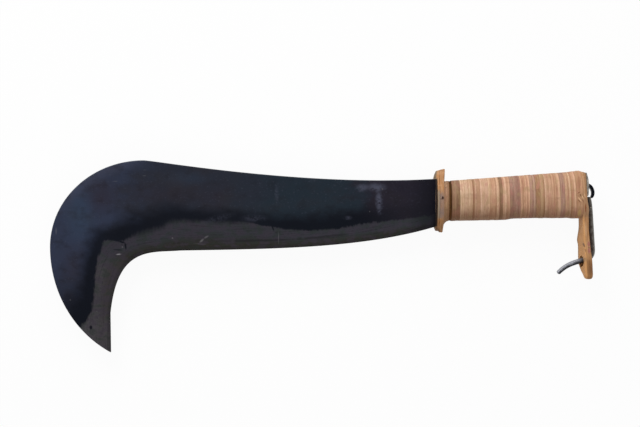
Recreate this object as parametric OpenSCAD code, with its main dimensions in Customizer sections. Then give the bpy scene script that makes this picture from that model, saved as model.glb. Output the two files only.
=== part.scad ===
// Billhook with a hooked blade, a full tang and a grip of stacked leather washers.
// Lies flat: the blade is in the XY plane, +X runs to the pommel, +Y to the back of the blade.
// The origin is on the tang, in the blade's middle plane, at the guard's face.

/* [Blade] */
// Length from the guard to the outside of the hook
blade_l = 354.5; // [320:0.5:390]
// Height of the back above the origin, at the guard
heel_up = 19.5; // [15:0.5:26]
// Depth of the cutting edge below the origin, at the guard
heel_down = 24.5; // [18:0.5:32]
// Distance from the guard to the crown of the back
crown_x = 268.5; // [255:0.5:285]
// Height of the crown
crown_up = 36.5; // [30:0.5:44]
// Height of the point that draws the back hollow near the guard
hollow_up = 12; // [8:0.5:18]
// Distance from the guard to the throat, where the edge starts to turn down
throat_x = 235; // [220:1:250]
// Depth of the edge at the throat
throat_down = 46.5; // [40:0.5:54]
// Depth of the outermost point of the hook
side_down = 43; // [34:1:52]
// Half width of the ellipse that the outside of the beak follows
beak_round = 100; // [90:1:115]
// Distance from the guard to the place where the edge runs straight to the beak
inner_x = 299; // [292:0.5:306]
// Depth of that place
inner_down = 104; // [96:1:112]
// Distance from the guard to the tip of the beak
beak_x = 298.5; // [290:0.5:306]
// Depth of the tip of the beak
beak_down = 140; // [130:1:155]
// Width left at the blunted tip
tip_w = 1.6; // [1:0.1:3]
// Thickness at the guard
heel_t = 6; // [5.5:0.1:8]
// Thickness at the outside of the hook
toe_t = 3.6; // [3:0.1:5]
// Thickness left at the ground edge
edge_t = 0.6; // [0.3:0.1:1.2]
// Width of the ground bevel at the guard
heel_bevel = 13; // [9:0.5:17]
// Width of the bevel at the throat
throat_bevel = 26; // [18:0.5:30]
// Width of the bevel along the beak
beak_bevel = 17; // [12:0.5:22]

/* [Tang] */
// Height of the tang above the origin, at the guard
tang_up = 10; // [6:0.5:12]
// Depth of the tang below the origin, at the guard
tang_down = 12; // [6:0.5:13]
// Thickness of the tang
tang_t = 5; // [3.5:0.1:5.4]
// Height of the drawn-out end of the tang above the grip's centre line
clench_v = 8; // [5:0.5:11]
// Thickness of that end, which is bent over the end plate
clench_t = 2.3; // [1.6:0.1:3]
// How far the bend of the clenched end stands off the end plate
clench_out = 4.4; // [3.6:0.1:6]
// Gap round the tang in every leather piece
tang_gap = 0.2; // [0.1:0.05:0.5]

/* [Guard] */
// Half height of the oval guard
guard_up = 29.5; // [26:0.5:34]
// Half depth of the guard, across the blade
guard_side = 22; // [18:0.5:26]
// Thickness of each of its two leathers
guard_ply = 3.7; // [3:0.1:5]
// How much smaller the leather next to the blade is
guard_step = 0.9; // [0:0.1:2]

/* [Grip] */
// Height of the grip above the origin, at the guard
grip_up = 17.4; // [15:0.2:20]
// Depth of the grip below the origin, at the guard
grip_down = 19.5; // [17:0.2:22]
// Height above the origin at the pommel
pommel_up = 26.6; // [23:0.2:30]
// Depth below the origin at the pommel
pommel_down = 17; // [14:0.2:20]
// Depth of the grip across, at the guard
grip_w = 28; // [24:0.5:32]
// Thickness of an ordinary washer of the stack
ply_t = 3.3; // [2.8:0.1:3.8]
// Lean of the last washer, in degrees: the stack fans out towards the pommel
pommel_lean = 2.9; // [0:0.1:5]
// How far the thin spacer lies below the grip's surface
spacer_sink = 1; // [0.5:0.1:2]

/* [Tail] */
// Thickness of each of the two leathers that close the grip and hang down as its tail
tail_ply = 2.8; // [2.2:0.1:3.6]
// Distance from the grip's centre line to the tail's tip
tail_drop = 77.5; // [72:0.5:84]
// Width of the tail across
tail_w = 20; // [17:0.5:24]
// Radius of the hollow between the pommel and the tail
tail_fillet = 6; // [2:0.5:8]
// Distance from the grip's centre line to the hook's hole, at the tail's front
hole_drop = 60.6; // [58:0.2:63]
// Radius of that hole
hole_r = 4.2; // [4:0.1:5]
// Slant of the hole, in degrees
hole_slant = 22; // [16:1:26]

/* [End plate] */
// Height of the plate above the grip's centre line
plate_up = 20; // [16:0.5:21]
// Depth of the plate below the centre line
plate_down = 1.6; // [0:0.1:3]
// Width of the plate across
plate_w = 15; // [10:0.5:22]
// Thickness of the plate
plate_t = 1.4; // [1:0.1:2]
// Radius of its corners
plate_r = 2; // [0.5:0.1:4]

/* [Belt hook] */
// Thickness of the bar along the tail
strap_t = 5; // [4.4:0.1:6]
// Thickness of its drawn-out top, under the clenched tang
tongue_t = 2.4; // [1.6:0.1:2.8]
// Length of the drawn-out top
tongue_l = 12; // [8:0.5:16]
// Width of the bar across
hook_w = 6; // [5:0.1:6.4]
// Thickness of the prong
prong_t = 4.4; // [3.6:0.1:4.8]
// Reach of the prong in front of the tail
prong_reach = 23.8; // [18:0.2:32]
// Drop of the prong's end below the hole
prong_drop = 10.7; // [6:0.1:16]
// Height of the cut corner where the bar turns into the hole
corner_cut = 7; // [5:0.5:9]
// Gap between the end plate and the bar's top
plate_gap = 0.6; // [0.2:0.1:1.2]

/* [Hidden] */
// The stack, from the guard to the pommel: tone, number of washers, thickness as a share of ply_t
UMBER = "#80604a";
LIGHT = "#b89577";
HAZEL = "#a57e63";
PINK = "#b99478";
SAND = "#ac8468";
OLIVE = "#82614a";
ROSE = "#b48b6e";
PLUM = "#8d6b59";
TAN = "#a87d63";
bands = [
    [UMBER, 2, 1.15], [LIGHT, 3, 1.15], [HAZEL, 2, 1.03], [PINK, 2, 1.06], [SAND, 3, 1.06],
    [OLIVE, 1, 0.88], [ROSE, 2, 1.02], [PLUM, 3, 0.94], [TAN, 3, 0.88], [PLUM, 2, 0.82],
    [OLIVE, 2, 1.2], [ROSE, 2, 1.02], [HAZEL, 2, 1.14], [PLUM, 1, 1.21], [SAND, 2, 0.79],
    [HAZEL, 2, 0.76]
];
collar_share = 1.2;
spacer_share = 0.7;
cap_share = 0.92;
cap_count = 2;

washers = [for (b = bands) for (k = [1:b[1]]) b];
WASHER_NAMES = [for (i = [1:len(washers)]) str("washer_", i < 10 ? "0" : "", i)];
CAP_NAMES = [for (i = [1:cap_count]) str("pommel_washer_", i)];

STEEL = "#262b36";
IRON = "#5a5658";
GUARD_LEATHER = "#b08458";
DARK_LEATHER = "#46301c";
TAIL_LEATHER = "#b5804e";

function lerp(a, b, t) = a + (b - a) * t;
function sum_to(v, n, i = 0) = i >= n ? 0 : v[i] + sum_to(v, n, i + 1);
function bezier(p, t) =
    pow(1 - t, 3) * p[0] + 3 * pow(1 - t, 2) * t * p[1] + 3 * (1 - t) * t * t * p[2] + pow(t, 3) * p[3];
function unit(v) = v / norm(v);
function left_of(v) = [-v[1], v[0]];

// Places along the stack
guard_t = 2 * guard_ply;
spacer_at = guard_t + collar_share * ply_t;
washers_at = spacer_at + spacer_share * ply_t;
washer_ts = [for (b = washers) b[2] * ply_t];
caps_at = washers_at + sum_to(washer_ts, len(washer_ts));
grip_end = caps_at + cap_count * cap_share * ply_t;

// The grip's outline at a distance x from the guard
function grip_share(x) = (x - guard_t) / (grip_end - guard_t);
function grip_top(x) = lerp(grip_up, pommel_up, grip_share(x));
function grip_bottom(x) = -lerp(grip_down, pommel_down, grip_share(x));
function grip_mid(x) = (grip_top(x) + grip_bottom(x)) / 2;
function grip_half(x) = (grip_top(x) - grip_bottom(x)) / 2;
side_share = grip_w / (grip_up + grip_down);

// A joint between two washers, as a point of its leaning plane at the height y
function joint_point(x, y) = [x - tan(pommel_lean) * grip_share(x) * (y - grip_mid(x)), y];

// The tail's own frame starts at the grip's end, on its centre line: u runs out, v runs up
function tail_point(u, v) = [
    grip_end + u * cos(pommel_lean) - v * sin(pommel_lean),
    grip_mid(grip_end) + u * sin(pommel_lean) + v * cos(pommel_lean)
];
tail_t = 2 * tail_ply;
stack_u = tail_t + plate_t;
far = 60;
oval_sides = 48;

// Outlines of the blade: the body, then the bend of the hook, then its beak
body_steps = 14;
bend_steps = 12;
beak_steps = 10;
back_line = [
    [0, heel_up], [-0.45 * crown_x, hollow_up], [-0.96 * crown_x, crown_up], [-crown_x, crown_up]
];
edge_line = [
    [0, -heel_down], [-0.285 * throat_x, -0.957 * throat_down],
    [-0.625 * throat_x, -0.968 * throat_down], [-throat_x, -throat_down]
];
throat_line = [
    [-throat_x, -throat_down],
    [lerp(-throat_x, -inner_x, 0.42), -1.05 * throat_down],
    [lerp(-throat_x, -inner_x, 0.9), -0.89 * throat_down],
    [-inner_x, -inner_down]
];
beak_mid_x = beak_round - blade_l;
function beak_angle(x) = acos((beak_mid_x + x) / beak_round);
beak_half = (beak_down - side_down) / sin(beak_angle(beak_x));
tip_angle = beak_angle(beak_x + tip_w);
function bend_point(a) = [
    -crown_x - (blade_l - crown_x) * sin(a), -side_down + (crown_up + side_down) * cos(a)
];
function beak_point(a) = [beak_mid_x - beak_round * cos(a), -side_down - beak_half * sin(a)];
back_points = concat(
    [for (i = [0:body_steps]) bezier(back_line, i / body_steps)],
    [for (i = [1:bend_steps]) bend_point(90 * i / bend_steps)],
    [for (i = [1:beak_steps]) beak_point(tip_angle * i / beak_steps)]
);
edge_points = concat(
    [for (i = [0:body_steps]) bezier(edge_line, i / body_steps)],
    [for (i = [1:bend_steps]) bezier(throat_line, i / bend_steps)],
    [for (i = [1:beak_steps]) lerp([-inner_x, -inner_down], [-beak_x, -beak_down], i / beak_steps)]
);
bevel_widths = concat(
    [for (i = [0:body_steps]) lerp(heel_bevel, throat_bevel, i / body_steps)],
    [for (i = [1:bend_steps]) lerp(throat_bevel, beak_bevel, i / bend_steps)],
    [for (i = [1:beak_steps]) beak_bevel]
);
widest_bevel = 0.85;
function half_t(p) = lerp(heel_t, toe_t, -p[0] / blade_l) / 2;
function bevel_point(i) =
    let (across = back_points[i] - edge_points[i])
    edge_points[i] + across * min(bevel_widths[i] / norm(across), widest_bevel);
function at_height(p, z) = [p[0], p[1], z];

// One section of what grinding takes off above the bevel, a little past both its sides
function ground_section(i, shift) =
    let (
        e = edge_points[i],
        m = bevel_point(i),
        out = (e - m) * over_grind,
        rise = (half_t(m) - edge_t / 2) * over_grind
    )
    [for (p = [
        at_height(e + out, edge_t / 2 - rise), at_height(m - out, half_t(m) + rise),
        at_height(m - out, heel_t), at_height(e + out, heel_t)
    ]) p + shift];
over_grind = 0.1;
grind_past = 3;
sections = len(back_points);
beak_way = unit([inner_x - beak_x, inner_down - beak_down, 0]);
ground_points = concat(
    ground_section(0, [grind_past, 0, 0]),
    [for (i = [0:sections - 1]) each ground_section(i, [0, 0, 0])],
    ground_section(sections - 1, grind_past * beak_way)
);
ring = 4;
ground_rings = sections + 2;
ground_faces = concat(
    [[for (k = [ring - 1:-1:0]) k]],
    [for (i = [0:ground_rings - 2]) for (k = [0:ring - 1])
        let (a = i * ring, b = a + ring, n = (k + 1) % ring)
        each [[a + k, a + n, b + n], [a + k, b + n, b + k]]],
    [[for (k = [0:ring - 1]) (ground_rings - 1) * ring + k]]
);

// The outline of a bar of width t0 to t1 whose centre line is a Bezier curve
function band_points(line, t0, t1, steps) =
    let (
        mids = [for (i = [0:steps]) bezier(line, i / steps)],
        ways = [for (i = [0:steps]) unit(mids[min(i + 1, steps)] - mids[max(i - 1, 0)])],
        halves = [for (i = [0:steps]) lerp(t0, t1, i / steps) / 2]
    )
    concat(
        [for (i = [0:steps]) mids[i] + left_of(ways[i]) * halves[i]],
        [for (i = [steps:-1:0]) mids[i] - left_of(ways[i]) * halves[i]]
    );

// Puts an outline drawn along the tail's u and v into place, as thick as w across
module in_tail(w) {
    translate([grip_end, grip_mid(grip_end), 0])
        rotate([0, 0, pommel_lean])
            translate([0, 0, -w / 2])
                linear_extrude(w)
                    children();
}

// The bend of the tang's end, in the tail's frame: out of the plate and down onto the belt hook
clench_line = [
    [stack_u - plate_t / 2, clench_v],
    [stack_u + 0.66 * clench_out, clench_v],
    [stack_u + 1.5 * clench_out, 0.25 * clench_v],
    [tail_t + tongue_t + clench_t / 2, -plate_down - tongue_t]
];
clench_steps = 14;
clench_points = band_points(clench_line, clench_t, clench_t, clench_steps);

// Side outline of the tang, drawn down to its end: the end's points run from its under side up
module tang_outline(gap, end_points) {
    bury = 3;
    neck = clench_t / 2 + gap;
    polygon(concat(
        [[-bury, -tang_down - gap], [0, -tang_down - gap], tail_point(0, clench_v - neck)],
        [for (p = end_points) tail_point(p[0], p[1])],
        [tail_point(0, clench_v + neck), [0, tang_up + gap], [-bury, tang_up + gap]]
    ));
}

// What is cut out of every piece that the tang passes through
module tang_slot() {
    w = tang_t + 2 * tang_gap;
    neck = clench_t / 2 + tang_gap;
    past = stack_u + plate_t;
    translate([0, 0, -w / 2])
        linear_extrude(w)
            tang_outline(tang_gap, [[past, clench_v - neck], [past, clench_v + neck]]);
}

// The forged blank: the outline, tapering in thickness from the guard to the hook
module blade_blank() {
    past_toe = [-blade_l - 1, 0];
    intersection() {
        translate([0, 0, -heel_t])
            linear_extrude(2 * heel_t)
                polygon(concat(back_points, [for (i = [sections - 1:-1:0]) edge_points[i]]));
        translate([0, beak_down, 0])
            rotate([90, 0, 0])
                linear_extrude(3 * beak_down)
                    polygon([
                        [0, heel_t / 2], [past_toe[0], half_t(past_toe)],
                        [past_toe[0], -half_t(past_toe)], [0, -heel_t / 2]
                    ]);
    }
}

// What grinding takes off the upper face along the edge
module ground_off() {
    polyhedron(points = ground_points, faces = ground_faces);
}

module blade() {
    color(STEEL) {
        difference() {
            blade_blank();
            ground_off();
            mirror([0, 0, 1])
                ground_off();
        }
        translate([0, 0, -tang_t / 2])
            linear_extrude(tang_t)
                tang_outline(0, [for (i = [len(clench_points) - 1:-1:0]) clench_points[i]]);
    }
}

// Points round an oval, half_v high and half_z across
function oval(half_v, half_z) = [for (i = [0:oval_sides - 1])
    let (a = 360 * i / oval_sides) [half_z * cos(a), half_v * sin(a)]];

// An oval leather, upright on the tang, from x on
module oval_leather(x, t, half_v, half_z, mid) {
    translate([x, mid, 0])
        rotate([0, 90, 0])
            linear_extrude(t)
                polygon(oval(half_v, half_z));
}

module guard_front() {
    color(GUARD_LEATHER)
        difference() {
            oval_leather(0, guard_ply, guard_up - guard_step, guard_side - guard_step, -guard_step / 2);
            tang_slot();
        }
}

module guard_back() {
    color(GUARD_LEATHER)
        difference() {
            oval_leather(guard_ply, guard_ply, guard_up, guard_side, -guard_step / 2);
            tang_slot();
        }
}

// One end of the grip's oval cone, at a distance x from the guard
function grip_ring(x, sink) =
    let (half = grip_half(x) - sink)
    [for (p = oval(half, half * side_share)) [x, grip_mid(x) + p[1], p[0]]];

// The whole grip: an oval cone, with its axis rising to the pommel
module grip_form(sink) {
    over = 2;
    n = oval_sides;
    polyhedron(
        points = concat(grip_ring(guard_t - over, sink), grip_ring(grip_end + over, sink)),
        faces = concat(
            [[for (i = [n - 1:-1:0]) i], [for (i = [0:n - 1]) n + i]],
            [for (i = [0:n - 1]) let (j = (i + 1) % n) each [[i, j, n + j], [i, n + j, n + i]]]
        )
    );
}

// One washer of the grip, between the joints at x and x + t
module washer(x, t, tone, sink = 0) {
    color(tone)
        difference() {
            intersection() {
                grip_form(sink);
                translate([0, 0, -far / 2])
                    linear_extrude(far)
                        polygon([
                            joint_point(x, -far), joint_point(x + t, -far),
                            joint_point(x + t, far), joint_point(x, far)
                        ]);
            }
            tang_slot();
        }
}

module collar() {
    washer(guard_t, spacer_at - guard_t, GUARD_LEATHER);
}

module spacer() {
    washer(spacer_at, washers_at - spacer_at, DARK_LEATHER, spacer_sink);
}

// Face of the tail's leathers and of the end plate, drawn with z across and v up
module tail_face() {
    half_v = grip_half(grip_end);
    half_z = half_v * side_share;
    offset(r = -tail_fillet)
        offset(r = tail_fillet) {
            polygon(oval(half_v, half_z));
            translate([-tail_w / 2, tail_w / 2 - tail_drop])
                square([tail_w, tail_drop - tail_w / 2]);
            translate([0, tail_w / 2 - tail_drop])
                circle(r = tail_w / 2, $fn = 48);
        }
}

// Stands a face up at the distance u behind the grip, as thick as t
module stand_behind(u, t) {
    translate([grip_end, grip_mid(grip_end), 0])
        rotate([0, 0, pommel_lean])
            translate([u, 0, 0])
                rotate([0, 90, 0])
                    linear_extrude(t)
                        children();
}

module hook_hole() {
    reach = 12;
    translate([grip_end, grip_mid(grip_end), 0])
        rotate([0, 0, pommel_lean])
            translate([0, -hole_drop, 0])
                rotate([0, 0, hole_slant])
                    rotate([0, 90, 0])
                        translate([0, 0, -reach])
                            cylinder(h = 3 * reach, r = hole_r, $fn = 48);
}

module tail_leather(u) {
    color(TAIL_LEATHER)
        difference() {
            stand_behind(u, tail_ply) tail_face();
            tang_slot();
            hook_hole();
        }
}

module tail_inner() {
    tail_leather(0);
}

module tail_outer() {
    tail_leather(tail_ply);
}

module end_plate() {
    color(IRON)
        difference() {
            stand_behind(tail_t, plate_t)
                translate([-plate_w / 2 + plate_r, plate_r - plate_down])
                    offset(r = plate_r)
                        square([plate_w - 2 * plate_r, plate_up + plate_down - 2 * plate_r]);
            tang_slot();
        }
}

// A bar laid down the tail's back, turned through the hole and drawn out as a prong
module belt_hook() {
    top = -plate_down - plate_gap;
    turn_v = tail_t * tan(hole_slant) - hole_drop;
    lead = 1.2;
    prong_line = [
        [tail_t + lead, turn_v + lead * tan(hole_slant)],
        [-lead, -hole_drop - lead * tan(hole_slant)],
        [-0.55 * prong_reach, -hole_drop - 0.08 * prong_drop],
        [-prong_reach, -hole_drop - prong_drop]
    ];
    color(IRON)
        in_tail(hook_w) {
            polygon([
                [tail_t, top],
                [tail_t + tongue_t, top],
                [tail_t + strap_t, top - tongue_l],
                [tail_t + strap_t, turn_v + corner_cut],
                [tail_t + lead, turn_v - prong_t / 2],
                [tail_t, turn_v]
            ]);
            polygon(band_points(prong_line, prong_t, prong_t, 20));
        }
}

blade();
guard_front();
guard_back();
collar();
spacer();
for (i = [0:len(washers) - 1])
    washer(washers_at + sum_to(washer_ts, i), washer_ts[i], washers[i][0]);
for (i = [0:cap_count - 1])
    washer(caps_at + i * cap_share * ply_t, cap_share * ply_t, HAZEL);
tail_inner();
tail_outer();
end_plate();
belt_hook();
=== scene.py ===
import math

import bmesh
import bpy
import numpy as np
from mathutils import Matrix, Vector


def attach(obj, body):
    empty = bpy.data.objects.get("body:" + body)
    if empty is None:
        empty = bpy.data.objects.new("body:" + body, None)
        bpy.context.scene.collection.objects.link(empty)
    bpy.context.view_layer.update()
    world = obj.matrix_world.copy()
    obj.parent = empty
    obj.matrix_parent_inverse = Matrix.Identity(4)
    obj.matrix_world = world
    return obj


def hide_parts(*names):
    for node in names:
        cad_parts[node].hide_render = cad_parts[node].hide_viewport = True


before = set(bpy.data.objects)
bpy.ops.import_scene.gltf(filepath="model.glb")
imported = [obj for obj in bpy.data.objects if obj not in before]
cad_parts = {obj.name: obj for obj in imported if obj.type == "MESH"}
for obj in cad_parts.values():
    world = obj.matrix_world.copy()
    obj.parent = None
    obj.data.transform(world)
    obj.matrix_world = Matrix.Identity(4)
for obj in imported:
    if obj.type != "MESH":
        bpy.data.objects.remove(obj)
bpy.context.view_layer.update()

scene = bpy.context.scene

# Blade
# One forging of steel: a wide hooked blade and the full tang that runs through the grip. It is
# blued nearly black and ground along its edge on both sides. The tang's drawn-out end is bent
# over the end plate and onto the belt hook, and that clamps the whole stack of leather.
BLADE_LENGTH = 0.3545
HEEL_UP, HEEL_DOWN = 0.0195, 0.0245
CROWN_X, CROWN_UP, HOLLOW_UP = 0.2685, 0.0365, 0.012
THROAT_X, THROAT_DOWN = 0.235, 0.0465
SIDE_DOWN, BEAK_ROUND = 0.043, 0.100
INNER_X, INNER_DOWN = 0.299, 0.104
BEAK_X, BEAK_DOWN, TIP_WIDTH = 0.2985, 0.140, 0.0007
HEEL_HALF, TOE_HALF, EDGE_HALF = 0.003, 0.0018, 0.00015
BACK_ROUND = 0.0008
# Where the ground bevel ends, as distance from the edge, at stations from 0 at the guard by 1 at
# the crown and 2 at the hook's side to 3 at the tip
BEVEL_STATIONS = [0, 0.12, 0.25, 0.43, 0.54, 0.66, 0.75, 0.95, 1.05, 1.3, 1.5, 1.54, 1.58, 1.62,
                  1.67, 1.8, 2.0, 2.2, 2.4, 2.55, 2.7, 3.0]
BEVEL_WIDTHS = [0.0106, 0.0144, 0.0180, 0.0184, 0.022, 0.0325, 0.0333, 0.0318, 0.0248, 0.0210,
                0.0193, 0.0205, 0.0262, 0.0308, 0.0288, 0.0251, 0.0222, 0.0205, 0.0226, 0.026,
                0.031, 0.037]
# The sooty band above the bevel at the same kind of stations: how wide it is and how dark
SOOT_STATIONS = [0, 0.12, 0.25, 0.43, 0.54, 0.66, 0.85, 0.95, 1.3, 1.5, 1.62, 1.8, 2.0, 2.2, 3.0]
SOOT_WIDTHS = [0.012, 0.014, 0.018, 0.020, 0.020, 0.016, 0.0145, 0.017, 0.020, 0.018, 0.015,
               0.016, 0.019, 0.022, 0.026]
SOOT_DEPTHS = [0.3, 0.45, 1, 1, 1, 0.9, 0.95, 0.95, 1, 1, 0.95, 1, 1, 1, 1]


def lerp(first, second, share):
    """Straight way from first to second."""
    return first + (second - first) * share


def bezier(corners, share):
    """Cubic Bezier curve: its four corners weighted by the cubic Bernstein polynomials."""
    t = np.asarray(share)[..., None]
    a, b, c, d = np.asarray(corners, float)
    return (1 - t) ** 3 * a + 3 * (1 - t) ** 2 * t * b + 3 * (1 - t) * t * t * c + t**3 * d


def run_along(path):
    """Length of the way to each point of a path."""
    return np.concatenate([[0], np.cumsum(np.linalg.norm(np.diff(path, axis=0), axis=1))])


def blade_lines(station):
    """Back and edge of the blade at each station. The back is a Bezier curve to the crown, then a
    quarter of an ellipse round the hook, then part of a second ellipse down the beak. The edge is
    a Bezier curve to the throat, a second one round it, and a straight line to the tip."""
    body, bend, beak = (np.clip(station - k, 0, 1) for k in range(3))
    back = bezier([(0, HEEL_UP), (-0.45 * CROWN_X, HOLLOW_UP),
                   (-0.96 * CROWN_X, CROWN_UP), (-CROWN_X, CROWN_UP)], body)
    turn = bend * math.pi / 2
    round_hook = np.stack([-CROWN_X - (BLADE_LENGTH - CROWN_X) * np.sin(turn),
                           -SIDE_DOWN + (CROWN_UP + SIDE_DOWN) * np.cos(turn)], -1)
    middle = BEAK_ROUND - BLADE_LENGTH
    half = (BEAK_DOWN - SIDE_DOWN) / math.sin(math.acos((middle + BEAK_X) / BEAK_ROUND))
    turn = beak * math.acos((middle + BEAK_X + TIP_WIDTH) / BEAK_ROUND)
    down_beak = np.stack([middle - BEAK_ROUND * np.cos(turn), -SIDE_DOWN - half * np.sin(turn)], -1)
    edge = bezier([(0, -HEEL_DOWN), (-0.285 * THROAT_X, -0.957 * THROAT_DOWN),
                   (-0.625 * THROAT_X, -0.968 * THROAT_DOWN), (-THROAT_X, -THROAT_DOWN)], body)
    throat = bezier([(-THROAT_X, -THROAT_DOWN),
                     (lerp(-THROAT_X, -INNER_X, 0.42), -1.05 * THROAT_DOWN),
                     (lerp(-THROAT_X, -INNER_X, 0.9), -0.89 * THROAT_DOWN),
                     (-INNER_X, -INNER_DOWN)], bend)
    inner = lerp(np.array([-INNER_X, -INNER_DOWN]), np.array([-BEAK_X, -BEAK_DOWN]), beak[:, None])
    on_bend, on_beak = (station > 1)[:, None], (station > 2)[:, None]
    return (np.where(on_beak, down_beak, np.where(on_bend, round_hook, back)),
            np.where(on_beak, inner, np.where(on_bend, throat, edge)))


def hammered(x, y, phase):
    """Height of the hammer's soft dents: a sum of crossed sine waves 19 to 60 mm long."""
    return 0.00004 * (np.sin(x * 105 + y * 60 + phase) + np.sin(y * 160 - x * 70 + 2 * phase)
                      + 0.7 * np.sin(x * 260 + y * 210 + 3 * phase))


def blade_side(station, phase):
    """One side of the blade, as rows of points from the edge to the middle of the back. The half
    thickness rises in a straight bevel from the edge, stays on the forged taper, and drops in a
    quarter round at the back. Also gives two marks for each point: length along the edge,
    distance from the edge and depth inside the bevel, and then place in the sooty band, darkness
    of that band and distance from the back."""
    back, edge = blade_lines(station)
    across = back - edge
    width = np.linalg.norm(across, axis=1, keepdims=True)
    wide = np.interp(station, BEVEL_STATIONS, BEVEL_WIDTHS)
    soft = np.hanning(15) / np.hanning(15).sum()
    wide = np.convolve(np.pad(wide, 7, mode="edge"), soft, "valid")[:, None]
    bevel = np.minimum(wide, 0.9 * width)
    corner = np.minimum(BACK_ROUND, 0.04 * width)
    rise = np.linspace(0, 1, 26)[None, :] ** 1.2
    flat = np.linspace(0, 1, 44)[None, 1:]
    turn = np.linspace(0, math.pi / 2, 6)[None, 1:]
    gap = np.hstack([bevel * rise, lerp(bevel, width - corner, flat),
                     width - corner * (1 - np.sin(turn)), width])
    at = edge[:, None, :] + across[:, None, :] * (gap / width)[..., None]
    half = lerp(HEEL_HALF, TOE_HALF, -at[..., 0] / BLADE_LENGTH)
    on_flat = np.clip(np.minimum(gap - bevel, width - gap) / 0.006, 0, 1)
    half = half - np.abs(hammered(at[..., 0], at[..., 1], phase)) * on_flat
    z = np.where(gap < bevel, lerp(EDGE_HALF, half, gap / bevel), half)
    start = gap.shape[1] - turn.size - 1
    z[:, start:-1] -= corner * (1 - np.cos(turn))
    z[:, -1] = 0
    grind = np.stack([run_along(edge)[:, None] + 0 * gap, gap, wide - gap], -1)
    band = np.interp(station, SOOT_STATIONS, SOOT_WIDTHS)[:, None]
    dark = np.interp(station, SOOT_STATIONS, SOOT_DEPTHS)[:, None]
    soot = np.stack([(wide - gap) / band, dark + 0 * gap, width - gap], -1)
    return np.dstack([at, z]), grind, soot


def ring_mesh(rings, joined=False, marks=None, capped=True):
    """A closed mesh from a grid of points: each row is a closed ring, and the rows follow on.
    The first and the last row are joined, or else each is closed by one face, unless its points
    already lie on each other in pairs."""
    rows, columns = rings.shape[:2]
    index = np.arange(rows * columns).reshape(rows, columns)
    if joined:
        index = np.vstack([index, index[:1]])
    here, there = index[:-1], index[1:]
    quads = np.stack([here, np.roll(here, -1, 1), np.roll(there, -1, 1), there], -1)
    faces = quads.reshape(-1, 4).tolist()
    if capped and not joined:
        faces += [index[0, ::-1].tolist(), index[-1].tolist()]
    mesh = bpy.data.meshes.new("rings")
    mesh.from_pydata(rings.reshape(-1, 3).tolist(), [], faces)
    for name, values in (marks or {}).items():
        vector = values.ndim == 3
        kind, field = ("FLOAT_VECTOR", "vector") if vector else ("FLOAT", "value")
        layer = mesh.attributes.new(name, kind, "POINT")
        layer.data.foreach_set(field, np.ascontiguousarray(values, np.float32).ravel())
    return mesh


def face_outward(shape):
    """Turns the faces of a closed shape outwards."""
    bmesh.ops.recalc_face_normals(shape, faces=shape.faces)
    if shape.calc_volume(signed=True) < 0:
        bmesh.ops.reverse_faces(shape, faces=shape.faces)


def shade_smooth(mesh):
    """Smooth shading, with an edge kept sharp where its faces meet at more than 40 degrees."""
    mesh.shade_smooth()
    mesh.set_sharp_from_angle(angle=math.radians(40))


def add_piece(name, meshes, material, node):
    """Merges the meshes into one piece with outward normals, which rides on the part, takes its
    finish from the slot and stands for the CAD node."""
    built = bmesh.new()
    for mesh in meshes:
        built.from_mesh(mesh)
        bpy.data.meshes.remove(mesh)
    bmesh.ops.remove_doubles(built, verts=built.verts, dist=1e-6)
    face_outward(built)
    mesh = bpy.data.meshes.new(name)
    built.to_mesh(mesh)
    built.free()
    shade_smooth(mesh)
    mesh.materials.append(material)
    piece = bpy.data.objects.new(name, mesh)
    scene.collection.objects.link(piece)
    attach(piece, "root")
    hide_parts(node)
    return piece


BAR_FACETS = 28


def swept_bar(path, half_thick, half_wide, square=5.0):
    """A bar carried along a path in the XY plane: each ring is a superellipse, with half_thick
    across the path in the plane and half_wide along Z. Both may change along the path."""
    way = np.gradient(path, axis=0)
    way /= np.linalg.norm(way, axis=1, keepdims=True)
    side = np.stack([-way[:, 1], way[:, 0]], -1)
    turn = (np.arange(BAR_FACETS) * 2 + 1) * math.pi / BAR_FACETS
    c, s = np.cos(turn), np.sin(turn)
    out = np.sign(c) * np.abs(c) ** (2 / square)
    up = np.sign(s) * np.abs(s) ** (2 / square)
    thick, wide = (np.broadcast_to(half, len(path))[:, None] for half in (half_thick, half_wide))
    flat = path[:, None, :] + side[:, None, :] * (thick * out)[..., None]
    return np.dstack([flat, wide * up])


def rounded_ends(share, first, last):
    """Factor on a bar's size that closes its ends: a quarter circle over the first and the last
    part of its way."""
    near = np.minimum(share / first, (1 - share) / last)
    return np.sqrt(1 - (1 - np.clip(near, 0.02, 1)) ** 2)


def paint(code):
    """Linear colour of a written sRGB colour such as #a0b0c0."""
    parts = [int(code[k:k + 2], 16) / 255 for k in (1, 3, 5)]
    return (*[c / 12.92 if c < 0.04045 else ((c + 0.055) / 1.055) ** 2.4 for c in parts], 1.0)


def add_node(tree, kind, settings=None, inputs=None, output=0):
    """Adds a node to a tree: its settings first, then the values, colour codes or links of its
    sockets."""
    node = tree.nodes.new(kind)
    for name, value in (settings or {}).items():
        setattr(node, name, value)
    for socket, value in (inputs or {}).items():
        if isinstance(value, Number):
            tree.links.new(value.socket, node.inputs[socket])
        else:
            node.inputs[socket].default_value = paint(value) if isinstance(value, str) else value
    return Number(node.outputs[output])


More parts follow.
